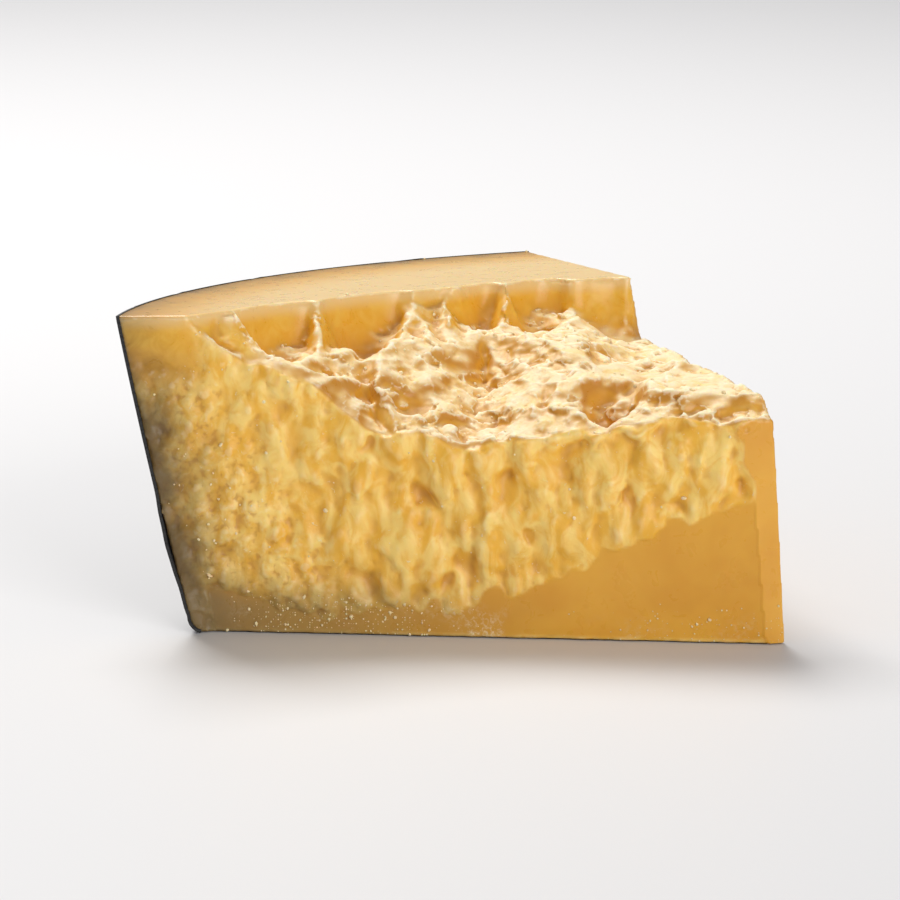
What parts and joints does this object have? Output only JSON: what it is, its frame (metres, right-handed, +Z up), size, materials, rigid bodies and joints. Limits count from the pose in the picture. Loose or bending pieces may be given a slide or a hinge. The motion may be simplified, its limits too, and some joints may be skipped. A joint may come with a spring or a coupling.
{
  "type": "parmesan chunk",
  "caption": "Wedge of hard aged cheese with a torn, lumpy front, a craggy broken top and a dark rind on its curved side.",
  "frame": {"origin": "centre of the bounding box at the height of the flat base that the chunk lies on", "axes": "+X along the torn front from the curved rind to the tip, +Y from the torn front to the back, +Z up from the flat base to the cut top"},
  "size_m": [0.125, 0.1084, 0.0607],
  "materials": {
    "cheese": "pale golden hard cheese paste, waxy where cut and grainy where broken, with a thin black coat on the rind"
  },
  "bodies": {
    "root": {"parmesan_chunk": "cheese"}
  },
  "joints": []
}
